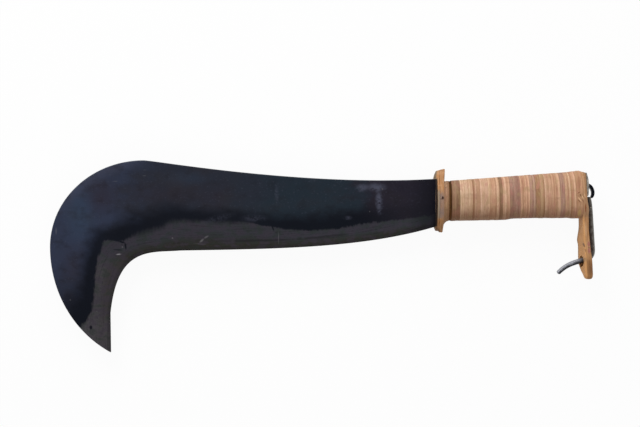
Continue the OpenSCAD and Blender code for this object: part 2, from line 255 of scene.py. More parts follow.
class Number:
    """A socket that gives a number, a colour or a vector. Sums on it add Math nodes."""

    def __init__(self, socket):
        self.socket = socket

    def math(self, operation, *values):
        return add_node(self.socket.id_data, "ShaderNodeMath", {"operation": operation},
                        dict(enumerate(values)))

    __add__ = __radd__ = lambda self, other: self.math("ADD", self, other)
    __mul__ = __rmul__ = lambda self, other: self.math("MULTIPLY", self, other)
    __sub__ = lambda self, other: self.math("SUBTRACT", self, other)
    __rsub__ = lambda self, other: self.math("SUBTRACT", other, self)
    __truediv__ = lambda self, other: self.math("DIVIDE", self, other)
    __pow__ = lambda self, other: self.math("POWER", self, other)
    __abs__ = lambda self: self.math("ABSOLUTE", self)

    def fade(self, low, high, top=1.0):
        """Smooth step from 0 at low to top at high."""
        return add_node(self.socket.id_data, "ShaderNodeMapRange",
                        {"interpolation_type": "SMOOTHSTEP"},
                        {"Value": self, "From Min": low, "From Max": high, "To Max": top})

    def beside(self, name):
        """Another output of the same node."""
        return Number(self.socket.node.outputs[name])


class Finish:
    """A material with one Principled shader, and the ways to add nodes to it."""

    def __init__(self, name, fixed):
        self.material = bpy.data.materials.new(name)
        self.material.use_nodes = True
        self.tree = self.material.node_tree
        self.shader = next(n for n in self.tree.nodes if n.type == "BSDF_PRINCIPLED")
        for socket, value in fixed.items():
            self.shader.inputs[socket].default_value = value
        self.place = self.node("ShaderNodeTexCoord", output="Object")

    def node(self, kind, settings=None, inputs=None, output=0):
        return add_node(self.tree, kind, settings, inputs, output)

    def attribute(self, name, output="Fac"):
        return self.node("ShaderNodeAttribute", {"attribute_name": name}, output=output)

    def axes(self, vector=None):
        """The three numbers of a vector, or else of the place."""
        x = self.node("ShaderNodeSeparateXYZ", inputs={"Vector": vector or self.place})
        return x, x.beside("Y"), x.beside("Z")

    def noise(self, scale, detail=2.0, shift=0.0, vector=None):
        """Noise from 0 to 1, with so many waves to the metre along each axis."""
        moved = self.node("ShaderNodeMapping", inputs={
            "Vector": vector or self.place, "Scale": scale, "Location": (shift, shift, shift)})
        return self.node("ShaderNodeTexNoise", inputs={
            "Vector": moved, "Scale": 1.0, "Detail": detail, "Roughness": 0.55})

    def coats(self, colour, *rows, blend="MIX"):
        """Lays coats over a colour, each given as its share and its own colour. Numbers between
        the two are the low, the high and the top of a fade that makes the share."""
        for share, *fade, coat in rows:
            colour = self.node("ShaderNodeMix", {"data_type": "RGBA", "blend_type": blend},
                               {0: share.fade(*fade) if fade else share, 6: colour, 7: coat}, 2)
        return colour

    def mark(self, middle, size, turn=0.0, soft=0.5):
        """A soft oval patch round a point: 1 inside, 0 outside."""
        moved = self.node("ShaderNodeMapping", {"vector_type": "TEXTURE"}, {
            "Vector": self.place, "Location": middle, "Rotation": (0, 0, math.radians(turn)),
            "Scale": size})
        length = self.node("ShaderNodeVectorMath", {"operation": "LENGTH"}, {0: moved}, "Value")
        return length.fade(1, 1 - soft)

    def marks(self, rows, soft):
        """Sum of upright oval columns through the whole piece, each given as x, y, half length
        and half width in mm, turn in degrees and strength."""
        made = [self.mark((x * MM, y * MM, 0), (long * MM, wide * MM, 0.2), turn, soft) * strength
                for x, y, long, wide, turn, strength in rows]
        return sum(made[1:], made[0])

    def bump(self, height, distance, strength=1.0, under=None):
        inputs = {"Height": height, "Distance": distance, "Strength": strength}
        if under:
            inputs["Normal"] = under
        return self.node("ShaderNodeBump", inputs=inputs)

    def shade(self, **links):
        for name, value in links.items():
            self.tree.links.new(value.socket, self.shader.inputs[name.replace("_", " ")])

    def over(self, *rows, blend="MIX"):
        """Lays coats over the colour that the shader has."""
        under = Number(self.shader.inputs["Base Color"].links[0].from_socket)
        self.shade(Base_Color=self.coats(under, *rows, blend=blend))


LOBE, MIDDLE, COOL, PLUM = "#2b3143", "#22252f", "#1d262f", "#201d27"
TEAL_HIGHLIGHT, DUSKY, BACK_HIGHLIGHT, BROWNED, SOOT = "#2e3e52", "#272129", "#3c4052", "#2b2628", "#060912"
GROUND_UP, GROUND_LOW, VIOLET, GREENISH, HAIR = (
    "#2e2f34", "#272620", "#332e37", "#282d2b", "#5a5a5e")
BEAK_OUT, BEAK_IN, BEAK_LOW, STREAK = "#3a383b", "#322f2f", "#464347", "#1a1a1c"
SCRATCH, SCUFF, BARE_AND_GLINT, EDGE_SHADE = "#8b898c", "#474958", "#5d6168", "#15110d"
MM = 0.001
# Marks of use, each as x, y, half length and half width in mm, turn in degrees and strength
SCRATCHES = [
    (-291.4, -49.9, 3.2, 0.8, 3, 0.6), (-287.8, -43.2, 1.2, 1, 0, 0.2),
    (-241.9, -35, 1.1, 1, 0, 0.22), (-215, -37.3, 3.4, 1.3, 42, 0.26),
    (-210.8, -34, 3.2, 1.2, 30, 0.2), (-216.7, -40.4, 9, 0.8, -5, 0.06),
    (-144.4, -35, 0.6, 8, 0, 0.12), (-267.6, 22.3, 2.6, 0.6, 0, 0.1),
    (-267.2, 27.6, 2.2, 0.6, 0, 0.07), (-294.4, 17.2, 3.4, 0.7, 4, 0.08),
    (-348.7, -28.5, 1.2, 4.5, 0, 0.12), (-335.7, -91.8, 0.9, 0.8, 0, 0.2),
    (-311.3, -102.2, 0.7, 0.7, 0, 0.15), (-60.7, -10.6, 0.8, 0.8, 0, 0.2),
    (-49, 10, 0.9, 1.2, 30, 0.2)]
SCUFFS = [
    (-68, 11.2, 8.5, 5.5, 8, 0.8), (-54.5, 12, 12.5, 5.8, 0, 0.9), (-52.2, -1, 4.6, 14.5, 3, 1),
    (-52, -11, 3, 4, 20, 0.5), (-81, -16.5, 5.5, 2.6, 0, 0.5), (-113, 18, 6, 3, 0, 0.25),
    (-145.9, 5, 2.8, 13, 0, 0.3), (-167, -17, 16, 4.5, 0, 0.35), (-200, -17, 20, 4.5, 14, 0.3)]
TEAL_HIGHLIGHT_AREAS = [(-327, -14, 20, 36, 0, 0.55), (-230, 20, 34, 10, 0, 0.2)]
DUSKY_AREAS = [
    (-307, 4, 22, 24, 0, 0.75), (-250, 6, 55, 16, 0, 0.45), (-202, 2, 30, 18, 0, 0.4),
    (-333, -62, 20, 30, 0, 0.4)]
GOUGES = [
    (-288.2, -38.7, 3.6, 1.1, -16, 0.9), (-285, -42.4, 1.1, 4.2, 8, 0.85),
    (-292, -45.8, 5.6, 0.8, -4, 0.6), (-149.7, -25.6, 0.9, 4, 22, 0.8),
    (-316.8, -117.1, 1.7, 2.6, 0, 0.9)]
steel = Finish("blued_steel", {"Specular IOR Level": 0.06})
grind = steel.attribute("grind", "Vector")
_, from_edge, depth = steel.axes(grind)
band, darkness, from_back = steel.axes(steel.attribute("soot", "Vector"))
steel_x, steel_y, _ = steel.axes()
streaks = steel.noise((28, 1300, 0), 3.0, 3.0, grind)
hairline = steel.noise((60, 2400, 0), 2.0, 29.0, grind).fade(0.64, 0.76)
cloud = steel.noise((34, 42, 42), 4.0, 7.0)
blotch = steel.noise((95, 120, 120), 3.0, 2.0)
mottle = steel.noise((110, 170, 110), 4.0, 19.0)
speckle = steel.noise((480, 620, 480), 2.0, 9.0)
grit = steel.noise((900, 900, 900), 2.0, 5.0)
torn = steel.noise((620, 170, 300), 2.0, 13.0)
hairs = steel.noise((160, 2200, 400), 1.0, 11.0).fade(0.72, 0.78, 0.012)
# The forged body, cool and dark, with a sooty band along the bevel, paler teal patches painted as
# highlights, and a painted highlight along the back of the hook
along_x = steel_x + (cloud - 0.5) * 0.11
# Painted highlight along the back at the crown and the hook
back_highlight = from_back.fade(0.012, 0.001) * steel_x.fade(-0.262, -0.29) * steel_y.fade(-0.02, 0.01)
sooty = (band + (blotch - 0.5) * 0.5 + (cloud - 0.5) * 0.5).fade(-1.5, -0.35) * darkness
body = steel.coats(
    LOBE,
    (along_x, -0.330, -0.240, MIDDLE),
    (along_x, -0.20, -0.14, COOL),
    (along_x, -0.090, -0.050, PLUM),
    # Paler teal patches, painted as highlights
    (steel.marks(TEAL_HIGHLIGHT_AREAS, 1.0) * (cloud + 0.4), TEAL_HIGHLIGHT),
    (steel.marks(DUSKY_AREAS, 1.0) * (blotch + 0.4), DUSKY),
    (steel_y, -0.055, -0.105, 0.6, SOOT),
    (back_highlight * 0.6, BACK_HIGHLIGHT),
    (cloud * 0.6 + blotch * 0.4, 0.42, 0.68, 0.3, BROWNED),
    (blotch, 0.45, 0.8, 0.3, SOOT),
    (speckle, 0.58, 0.75, 0.2, SCUFF),
    (sooty * 0.95, SOOT))
# The ground bevel, streaked along the edge, and paler on the beak
from_low = from_edge / (from_edge + depth)
beak = steel.coats(
    BEAK_IN,
    (from_low + (streaks - 0.5) * 0.5, 0.35, 0.7, BEAK_OUT),
    (steel_y, -0.100, -0.120, 0.45, BEAK_LOW))
dark_line = abs(from_edge + (cloud - 0.5) * 0.002 - 0.0103).fade(0.0018, 0.0005)
dark_line = dark_line * blotch.fade(0.3, 0.5) * abs(steel_x + 0.136).fade(0.062, 0.048)
bevel = steel.coats(
    GROUND_LOW,
    (from_low + (cloud - 0.5) * 0.5, 0.1, 0.6, GROUND_UP),
    (steel_x.fade(-0.276, -0.292) * steel_y.fade(-0.046, -0.066), beak),
    (mottle, 0.45, 0.6, 0.6, VIOLET),
    (mottle, 0.5, 0.36, 0.6, GREENISH),
    (streaks * 0.7 + speckle * 0.3, 0.5, 0.66, 0.55, STREAK),
    (dark_line * 0.6, STREAK),
    (from_edge, 0.0046, 0.0030, 0.3, STREAK),
    (hairline * cloud.fade(0.4, 0.6, 0.35), HAIR))
# Both together, with a ragged border, the marks of use on top, painted shade next to the guard and
# along the cutting edge, and a painted highlight on the bare, worn back
ragged = (torn - 0.5) * 0.0040 + (blotch - 0.5) * 0.0042
smudged = abs(steel_x + 0.228).fade(0.062, 0.040, 2.2)
ground = ((depth + ragged) / (1 + smudged)).fade(-0.0012, 0.0014)
scuffed = steel.marks(SCUFFS, 0.9) * (speckle * 0.45 + blotch * 0.55).fade(0.36, 0.60)
colour = steel.coats(
    body,
    (ground, bevel),
    (scuffed * 0.9, SCUFF),
    (steel.marks(GOUGES, 0.55), SOOT),
    # Painted shade next to the guard
    (steel_x, -0.030, -0.006, 0.5, SOOT),
    # Bare steel worn along the back, which also stands as a painted highlight on its rounded corner
    (from_back + (blotch - 0.5) * 0.0012, 0.0008, 0.0001, 0.5, BARE_AND_GLINT),
    # Painted shade along the cutting edge
    (from_edge, 0.0012, 0.0003, 0.65, EDGE_SHADE),
    (steel.marks(SCRATCHES, 0.8) + hairs, SCRATCH))
relief = steel.bump(streaks * ground, 0.00006, 0.5,
                    steel.bump(grit * 0.4 + blotch * 0.6, 0.00012, 0.6))
steel.shade(
    Base_Color=colour,
    Roughness=0.38 + ground * 0.08 + (blotch - 0.5) * 0.14 + scuffed * 0.15,
    Metallic=ground * 0.45 + 0.08,
    Normal=relief)

station = np.concatenate([np.linspace(0, 1, 261), np.linspace(1, 2, 131)[1:],
                          np.linspace(2, 3, 91)[1:]])
upper, lower = blade_side(station, 0.4), blade_side(station, 2.1)
rings, grind, soot = (np.hstack([up, down[:, -2::-1]]) for up, down in zip(upper, lower))
rings[:, upper[0].shape[1]:, 2] *= -1
blade_mesh = ring_mesh(rings, marks={"grind": grind, "soot": soot})

TANG_UP, TANG_DOWN, TANG_HALF = 0.010, 0.012, 0.0025
CLENCH_V, CLENCH_T, CLENCH_OUT = 0.008, 0.0023, 0.0044
GRIP_UP, GRIP_DOWN, POMMEL_UP, POMMEL_DOWN = 0.0174, 0.0195, 0.0266, 0.017
GUARD_T, GRIP_END, LEAN = 0.0074, 0.1324712, math.radians(2.9)
TAIL_T, PLATE_T, PLATE_DOWN, TONGUE_T = 0.0056, 0.0014, 0.0016, 0.0024
GRIP_MID = (POMMEL_UP - POMMEL_DOWN) / 2


def behind(u, v):
    """A point of the XY plane from u, out of the grip's end, and v, up along that end."""
    return np.stack([GRIP_END + u * math.cos(LEAN) - v * math.sin(LEAN),
                     GRIP_MID + u * math.sin(LEAN) + v * math.cos(LEAN)], -1)


plate_back = TAIL_T + PLATE_T
arc = bezier([(plate_back - PLATE_T / 2, CLENCH_V),
              (plate_back + 0.66 * CLENCH_OUT, 1.38 * CLENCH_V),
              (plate_back + 1.88 * CLENCH_OUT, 0.10 * CLENCH_V),
              (TAIL_T + TONGUE_T + 0.9 * CLENCH_T, -PLATE_DOWN - 0.8 * TONGUE_T)],
             np.linspace(0, 1, 30))
STRAIGHT_POINTS = 40
straight = lerp(np.array([-0.004, (TANG_UP - TANG_DOWN) / 2]),
                behind(np.float64(0), np.float64(CLENCH_V)),
                np.linspace(0, 1, STRAIGHT_POINTS)[:, None])
tang_path = np.vstack([straight, behind(arc[:, 0], arc[:, 1])])
run = run_along(tang_path)
at_plate = run[STRAIGHT_POINTS - 1]
left = np.clip(run / at_plate, 0, 1)
bulge = np.sin(np.clip((run - at_plate) / (run[-1] - at_plate), 0, 1) * math.pi)
thick = lerp((TANG_UP + TANG_DOWN) / 2, CLENCH_T / 2, left) * (1 + 0.18 * bulge)
closing = rounded_ends(run / run[-1], 0.001, 0.012)
tang_rings = swept_bar(tang_path, thick * closing, (TANG_HALF + 0.0009 * bulge) * closing)
away_from_edge = np.broadcast_to(np.array([0.0, 0.05, -0.05]), tang_rings.shape)
all_sooty = np.broadcast_to(np.array([0.0, 1.0, 0.05]), tang_rings.shape)
tang_mesh = ring_mesh(tang_rings, marks={"grind": away_from_edge, "soot": all_sooty})
add_piece("blade_and_tang", [blade_mesh, tang_mesh], steel.material, "blade")

# Guard
# Two thick ovals of natural leather, slipped over the tang against the blade's shoulders. Their
# rims are cut by hand, shaved off towards the blade, and greyed where the hand rubs.
GUARD_UP, GUARD_SIDE, GUARD_PLY, GUARD_STEP = 0.0295, 0.022, 0.0037, 0.0009
DISH, DISH_START, DISH_END = 0.0014, 0.003, 0.016
ANGLES = np.linspace(0, 2 * math.pi, 128, endpoint=False)


def smooth(value, low, high):
    """Smooth step from 0 at low to 1 at high."""
    t = np.clip((value - low) / (high - low), 0, 1)
    return t * t * (3 - 2 * t)


def rim_profile(thick, front, back, middle=4):
    """Share of the thickness and inset from the rim, across a leather: along the front face, over
    a quarter round, straight over the rim, over a second quarter round, along the back face."""
    turn = np.linspace(0, math.pi / 2, 5)
    ahead, behind_it = front / thick, back / thick
    share = np.concatenate([[0, 0], ahead * (1 - np.cos(turn)),
                            np.linspace(ahead, 1 - behind_it, middle + 2)[1:-1],
                            1 - behind_it * (1 - np.cos(turn[::-1])), [1, 1]])
    inset = np.concatenate([[front + 0.006, front + 0.0012], front * (1 - np.sin(turn)),
                            np.zeros(middle), back * (1 - np.sin(turn[::-1])),
                            [back + 0.0012, back + 0.006]])
    return share[:, None], inset[:, None]


SLOT_ROOM = 0.0002


def tang_hole(x):
    """The slot for the tang at x: the tang's upright rectangle and 0.2 mm of room, as one row of
    points that lie in the directions of ANGLES from its middle."""
    share = x / GRIP_END
    half = lerp((TANG_UP + TANG_DOWN) / 2, CLENCH_T / 2, share) + SLOT_ROOM
    middle = lerp((TANG_UP - TANG_DOWN) / 2, GRIP_MID + CLENCH_V, share)
    c, s = np.cos(ANGLES), np.sin(ANGLES)
    reach = 1 / np.maximum(np.abs(s) / half, np.abs(c) / (TANG_HALF + SLOT_ROOM))
    return np.stack([x + 0 * c, middle + reach * s, reach * c], -1)


def pierced(x, thick, rim, marks=None):
    """A leather with the tang's slot in it: the slot's row in front, the rows of the rim, and
    the slot's row behind, as one closed ring."""
    rings = np.concatenate([tang_hole(x)[None], rim, tang_hole(x + thick)[None]])
    return ring_mesh(rings, joined=True, marks=marks)


def leather(name, deep, tone, pale, gloss=0.25, rough=0.5, relief=(0.0003, 0.7)):
    """Vegetable-tanned leather seen on its cut edge: fine fibres run round the piece, across X,
    over soft clouds and pores. Gives its Finish, height and clouds."""
    skin = Finish(name, {"Specular IOR Level": gloss})
    fibre = skin.noise((1500, 45, 45), 4.0, 1.0)
    thread = skin.noise((5200, 260, 260), 2.0, 4.0)
    cloud = skin.noise((120, 70, 70), 3.0, 2.0)
    pore = skin.noise((2600, 2600, 2600), 2.0, 8.0)
    grain = fibre * 0.55 + thread * 0.2 + cloud * 0.35
    height = grain * 0.7 + pore * 0.3
    colour = skin.coats(deep, (grain, 0.36, 0.56, tone), (grain, 0.54, 0.72, pale),
                        (pore, 0.6, 0.75, 0.25, deep))
    skin.shade(Base_Color=colour, Roughness=rough + height * 0.25,
               Normal=skin.bump(height, *relief))
    return skin, height, cloud


GUARD_TONE, GUARD_DEEP, GUARD_PALE = "#af815a", "#8c6240", "#c29a75"
GREYED, CREAM, SHADED, NICKED, OLIVE_GREY = (
    "#826e66", "#8f8473", "#17100c", "#2c140d", "#7c6e58")
SHADE_BROWN, SHADE_DARK_BROWN, ROSY, ORANGE_TAN, SHADE_BY_BLADE = (
    "#86603f", "#5a412c", "#8f7566", "#a5713f", "#1b110b")
NICKS = [(4.6, 2.1, 1.1, 1.4, 25, 1), (4, 0.8, 1.9, 0.6, 5, 0.9)]
guard_skin, height, cloud = leather("guard_leather", GUARD_DEEP, GUARD_TONE, GUARD_PALE, 0.1, 0.52)
guard_x, guard_y, guard_z = guard_skin.axes()
smudge = guard_skin.noise((300, 220, 220), 3.0, 17.0)
waver = smudge - 0.5
# Where a place lies: on the near side, how far out, and how deep from the dished front face
near_side = guard_z.fade(0, 0.004)
off_middle = (guard_y / GUARD_UP) ** 2 + (guard_z / GUARD_SIDE) ** 2 + waver * 0.3
inward = guard_x + abs(guard_z).fade(DISH_START, DISH_END, DISH)
front_rim = inward.fade(0.0018, 0.0006) * near_side * abs(guard_y + 0.003).fade(0.021, 0.015)
edge_strip = abs(inward + waver * 0.0012 - 0.0027).fade(0.0013, 0.0006) * near_side
edge_strip = edge_strip * abs(guard_y + 0.0043).fade(0.0150, 0.0105)
rubbed = (abs(guard_y + 0.0045) + waver * 0.014).fade(0.0155, 0.0080)
rubbed = rubbed * (inward + waver * 0.003).fade(0.0020, 0.0042) * off_middle.fade(0.66, 0.84)
rubbed = rubbed * (0.1 + cloud * 0.7 + height.fade(0.4, 0.6, 0.45))
streaky = guard_skin.noise((900, 60, 60), 2.0, 27.0).fade(0.5, 0.66, 0.6)
shaved = (inward + waver * 0.0016).fade(0.0015, 0.0003) * guard_y.fade(0.017, 0.0195)
# The front face is painted dark round the blade as shade, and darkest, as painted shade, in the
# near corner beside it
front = (inward + waver * 0.0008).fade(0.0021, 0.0013)
front = front * abs(guard_y + 0.0025).fade(0.0225, 0.0208)
shade_by_blade = front * (abs(guard_z) + waver * 0.006).fade(0.0110, 0.0050, 0.85)
guard_skin.over(
    (smudge, 0.5, 0.66, 0.5, ORANGE_TAN),
    (smudge, 0.48, 0.36, 0.4, GUARD_PALE),
    (front_rim * 0.75, ROSY),
    # Painted shade over the top of the rim
    (guard_y, 0.0235, 0.0285, 0.45, SHADE_BROWN),
    (edge_strip * 0.85, CREAM),
    (rubbed, GREYED),
    # Painted shade on the foot, broken into streaks, and darkest low at the front
    (guard_y.fade(-0.0145, -0.020) * (0.35 + streaky), SHADE_BROWN),
    (guard_y * 0.6 + inward + waver * 0.002, -0.0120, -0.0145, 0.6, SHADE_DARK_BROWN),
    (shaved * 0.8, OLIVE_GREY),
    (abs(inward - GUARD_PLY), 0.0003, 0.0001, 0.2, GUARD_DEEP),
    (guard_skin.marks(NICKS, 0.5) * near_side, NICKED),
    # Painted shade round the blade
    (shade_by_blade, SHADE_BY_BLADE),
    (front * near_side * off_middle.fade(0.40, 0.72, 0.97), SHADED))


def guard_leather(x, half_up, half_side, shaved_front, shaved_back, phase):
    """An oval leather of the guard. Its rim is shaved off towards the blade, most at the top, and
    waves a little, as a hand-cut edge does. It is dished: both its sides bend towards the blade,
    by a smooth step of the distance from the tang. Its foot leans forward and its top flares to
    the grip."""
    share, inset = rim_profile(GUARD_PLY, 0.0005, 0.0006)
    shave = lerp(shaved_front, shaved_back, share) * (0.65 + 0.35 * np.sin(ANGLES))
    inset = (inset + shave + 0.00018 * np.sin(3 * ANGLES + phase)
             + 0.00010 * np.sin(8 * ANGLES + phase))
    y = -GUARD_STEP / 2 + (half_up - inset) * np.sin(ANGLES)
    z = (half_side - inset) * np.cos(ANGLES)
    x_rim = x + share * GUARD_PLY + 0 * y
    curl = DISH * smooth(np.abs(z), DISH_START, DISH_END)
    lean = 0.16 * np.clip(-y - 0.0205, 0, None) * (0.3 + 0.7 * x_rim / GUARD_T)
    flared = 0.0007 * smooth(y, 0.016, 0.024) * smooth(x_rim, GUARD_PLY, GUARD_T)
    rim = np.stack([x_rim - curl - lean + flared, y, z], -1)
    return pierced(x, GUARD_PLY, rim)


add_piece("guard_leather_front",
          [guard_leather(0, GUARD_UP - GUARD_STEP, GUARD_SIDE - GUARD_STEP, 0.0017, 0.0006, 0.3)],
          guard_skin.material, "guard_front")
add_piece("guard_leather_back",
          [guard_leather(GUARD_PLY, GUARD_UP, GUARD_SIDE, 0.0012, 0.0001, 1.9)],
          guard_skin.material, "guard_back")

# Stacked grip
# Leather washers in sixteen bands of tone, pressed on the tang and sanded together to one oval
# that swells to the pommel. The stack fans out by 2.9 degrees on the way. A collar fills the
# corner at the guard, and a thin dark spacer lies a little below the surface beside it.
GRIP_WIDE, WASHER_T, SPACER_SINK, GRIP_SQUARE = 0.028, 0.0033, 0.0004, 2.4
SIDE_SHARE = GRIP_WIDE / (GRIP_UP + GRIP_DOWN)
COLLAR_SHARE, SPACER_SHARE, CAP_SHARE = 1.2, 0.7, 0.92
# Tone, washers, thickness, lightness, and a paler (or darker) line where the band starts
BANDS = [
    ("umber", 2, 1.15, 0.99, -0.5), ("light", 3, 1.15, 0.99, 0.9), ("hazel", 2, 1.03, 1.01, -1),
    ("pink", 2, 1.06, 0.98, 0.6), ("sand", 3, 1.06, 1.07, 0.7), ("olive", 1, 0.88, 0.93, -0.3),
    ("rose", 2, 1.02, 1.02, 0.3), ("plum", 3, 0.94, 1.12, -0.2), ("tan", 3, 0.88, 1.10, 0.8),
    ("plum", 2, 0.82, 1.22, 0.5), ("olive", 2, 1.2, 1.40, -0.3), ("rose", 2, 1.02, 1.0, 0.7),
    ("hazel", 2, 1.14, 1.12, 0.4), ("plum", 1, 1.21, 1.16, 0.4), ("sand", 2, 0.79, 1.10, 0.1),
    ("hazel", 2, 0.76, 1.24, -0.5)]
# Finer pale (and dark) lines along the stack, each as x and half width in mm, and strength
LINES = [
    (8.1, 0.5, 0.5), (17.2, 1, 0.8), (24.4, 0.6, 0.5), (26.3, 0.7, 0.5), (31, 0.6, -0.6),
    (33.6, 0.6, -0.7), (35.4, 0.7, 0.9), (47.2, 0.9, 0.8), (55.1, 0.9, 1), (62.2, 0.9, 1),
    (64.2, 0.6, -0.7), (74, 0.9, -0.6), (81.2, 0.8, 0.7), (83.8, 0.8, 1), (88.3, 1, 0.7),
    (95, 1.5, 0.9), (106.7, 0.8, -0.5), (110.7, 1.3, 0.9), (120.7, 0.8, 0.9), (122.5, 0.6, -0.6),
    (125.3, 0.8, 0.8), (127.4, 0.5, -0.25)]
TONES = {
    "umber": ("#6b4c35", "#836148", "#96745a"), "light": ("#a37c5c", "#ba9678", "#cfae90"),
    "hazel": ("#8b6246", "#a67f63", "#bd967a"), "pink": ("#a37a5e", "#bb9579", "#cfab91"),
    "sand": ("#94694d", "#ad8568", "#c4a081"), "olive": ("#6c4c2e", "#836247", "#997a5c"),
    "rose": ("#9c7055", "#b58c6f", "#cba488"), "plum": ("#714c3d", "#8d6a59", "#a38270"),
    "tan": ("#8f6347", "#a97e63", "#c1987b")}
random = np.random.default_rng(7)


def grip_rim(x, inset, angles):
    """Points of the grip's oval cone where a leaning joint cuts it: the cone's height and middle
    change evenly from guard to pommel, and so does the joint's lean. The oval is a superellipse,
    a little flatter on its sides than an ellipse. The fingers have worn a long shallow hollow in
    the underside, and the top swells a little at the pommel."""
    share = (x - GUARD_T) / (GRIP_END - GUARD_T)
    worn = 0.00115 * smooth(x, 0.062, 0.072) - 0.0005 * smooth(x, 0.086, 0.115)
    worn = worn - 0.00065 * smooth(x, 0.119, 0.125)
    swell = 0.00043 * smooth(x, 0.120, 0.129)
    top = lerp(GRIP_UP, POMMEL_UP, share) + swell
    bottom = worn - lerp(GRIP_DOWN, POMMEL_DOWN, share)
    half = (top - bottom) / 2
    c, s = np.cos(angles), np.sin(angles)
    rise = (half - inset) * np.sign(s) * np.abs(s) ** (2 / GRIP_SQUARE)
    y = (top + bottom) / 2 + rise
    z = (half * SIDE_SHARE - inset) * np.sign(c) * np.abs(c) ** (2 / GRIP_SQUARE)
    return np.stack([x - math.tan(LEAN) * share * rise, y, z], -1)


def washer(x, thick, lightness, line, inset=0.0, flare=0.0, dish=0.0):
    """One washer between two joints: the grip's oval with softened corners, a touch higher or
    lower than its neighbours and not quite even. The flare widens its lower front, and the dish
    bends its front face as the guard is bent."""
    share, depth_in = rim_profile(thick, 0.00016, 0.00016, 9)
    phase = random.uniform(0, 6.28, 3)
    uneven = (0.00006 * np.sin(2 * ANGLES + phase[0]) + 0.00005 * np.sin(5 * ANGLES + phase[1])
              + 0.00003 * np.sin(11 * ANGLES + phase[2]) + random.uniform(0, 0.00012))
    widened = flare * (1 - share) ** 2 * np.clip(-np.sin(ANGLES), 0, 1) ** 1.5
    at = x + share * thick + 0 * ANGLES
    rim = grip_rim(at, depth_in + inset + uneven - widened, ANGLES + 0 * share)
    rim[..., 0] -= dish * (1 - share) * smooth(np.abs(rim[..., 2]), DISH_START, DISH_END)
    joint = np.minimum(share, 1 - share) * thick
    rows = np.concatenate([[0], joint[:, 0], [0]])[:, None] + 0 * ANGLES
    start = np.concatenate([[0], share[:, 0] * thick, [thick]])[:, None] + 0 * ANGLES
    fine = sum(power * np.exp(-(((x + start) / MM - at_mm) / half) ** 2)
               for at_mm, half, power in LINES)
    return pierced(x, thick, rim, {
        "layer": np.stack([lightness + 0 * rows, rows, start], -1),
        "line": np.full(rows.shape, float(line)), "fine": fine})


GRIME_AND_SHADE, REDDENED, GREENED, STAINED = "#653f20", "#a1685c", "#957e56", "#6f5138"
# How much a painted sheen lightens the top of the grip, for red, green and blue
TOP_SHEEN = (1.10, 1.12, 1.15, 1.0)


def washer_finish(name, deep, tone, pale, grime_and_shade=0.6, gloss=0.25, mottled=0.36):
    """Leather of one tone. Each washer has its own lightness, a fine dark joint on both sides and
    sometimes a paler or darker line where it meets the washer before it. The grip is mottled
    reddish and greenish, with a painted sheen on its top and painted shade and finger dirt below.
    Gives the Finish."""
    skin, _, cloud = leather(name, deep, tone, pale, gloss, relief=(0.00022, 0.6))
    light, joint, start = skin.axes(skin.attribute("layer", "Vector"))
    line = skin.attribute("line")
    fine = skin.attribute("fine") * (0.55 + cloud * 0.7)
    strip = (start + (cloud - 0.5) * 0.0008).fade(0.0013, 0.0008, 0.9)
    layers = skin.noise((900, 12, 12), 2.0, 15.0)
    stain = skin.noise((60, 150, 150), 3.0, 21.0)
    mottle = skin.noise((310, 120, 120), 3.0, 41.0)
    up = skin.axes()[1] + (cloud - 0.5) * 0.006
    level = skin.node("ShaderNodeCombineColor", inputs=dict.fromkeys(range(3), light))
    top_sheen = up.fade(-0.002, 0.007) * (1 - up.fade(0.010, 0.020, 0.6))
    skin.over(
        (strip * line.fade(0, 1), pale),
        (strip * line.fade(0, -1), deep),
        (fine, 0.05, 0.8, 0.9, pale),
        (fine, -0.05, -0.8, 0.9, deep),
        (layers, 0.55, 0.7, 0.5, deep),
        (stain, 0.55, 0.75, 0.3, STAINED),
        (mottle, 0.53, 0.68, mottled, REDDENED),
        (mottle, 0.47, 0.34, mottled, GREENED))
    skin.over((1.0, level), blend="MULTIPLY")
    skin.over((joint, 0.00022, 0.00004, 0.55, deep))
    # A painted sheen lightens the top
    skin.over((top_sheen, TOP_SHEEN), blend="MULTIPLY")
    # Painted shade and the dirt of handling darken the underside
    skin.over((up, -0.0040, -0.0175, grime_and_shade, GRIME_AND_SHADE))
    return skin


finishes = {tone: washer_finish(f"leather_{tone}", *codes).material
            for tone, codes in TONES.items()}
collar_skin = washer_finish("collar_leather", "#a27d5d", "#c09672", "#d5ae8a")
collar_skin.over((collar_skin.axes()[0], 0.0082, 0.0108, 0.75, "#7b5638"))
spacer_skin = washer_finish("spacer_leather", "#221204", "#3e260f", "#5c3d20", gloss=0.05,
                            mottled=0)
pommel_skin = washer_finish("pommel_leather", "#946a4a", "#b08463", "#c89f7e", grime_and_shade=0.15)
# Strokes of the knife and stains on the pommel's near side: how soft, colour, and the marks
POMMEL_MARKS = [
    (0.9, "#8f6449", (129, 18, 2.8, 7.2, 0, 0.5)),
    (0.6, "#b4925c", (129.9, -11.8, 2.1, 4.2, 0, 0.8)),
    (0.6, "#dcb48c", (129.3, 0.4, 3.5, 0.6, -51, 0.9), (132.2, 1.8, 3.7, 0.6, -58, 0.9)),
    (0.6, "#6d4429", (128.4, 6.5, 1.9, 0.5, 35, 0.9), (130, 4.2, 2.1, 0.6, -60, 0.9),
     (128.7, -1, 2.2, 0.6, -52, 0.8), (131.8, -0.4, 2.1, 0.5, -58, 0.7))]


def mark_near(skin, near, groups):
    """Lays groups of marks over a finish, only where near is 1."""
    skin.over(*((skin.marks(rows, soft) * near, colour) for soft, colour, *rows in groups))


mark_near(pommel_skin, pommel_skin.axes()[2].fade(0, 0.004), POMMEL_MARKS)

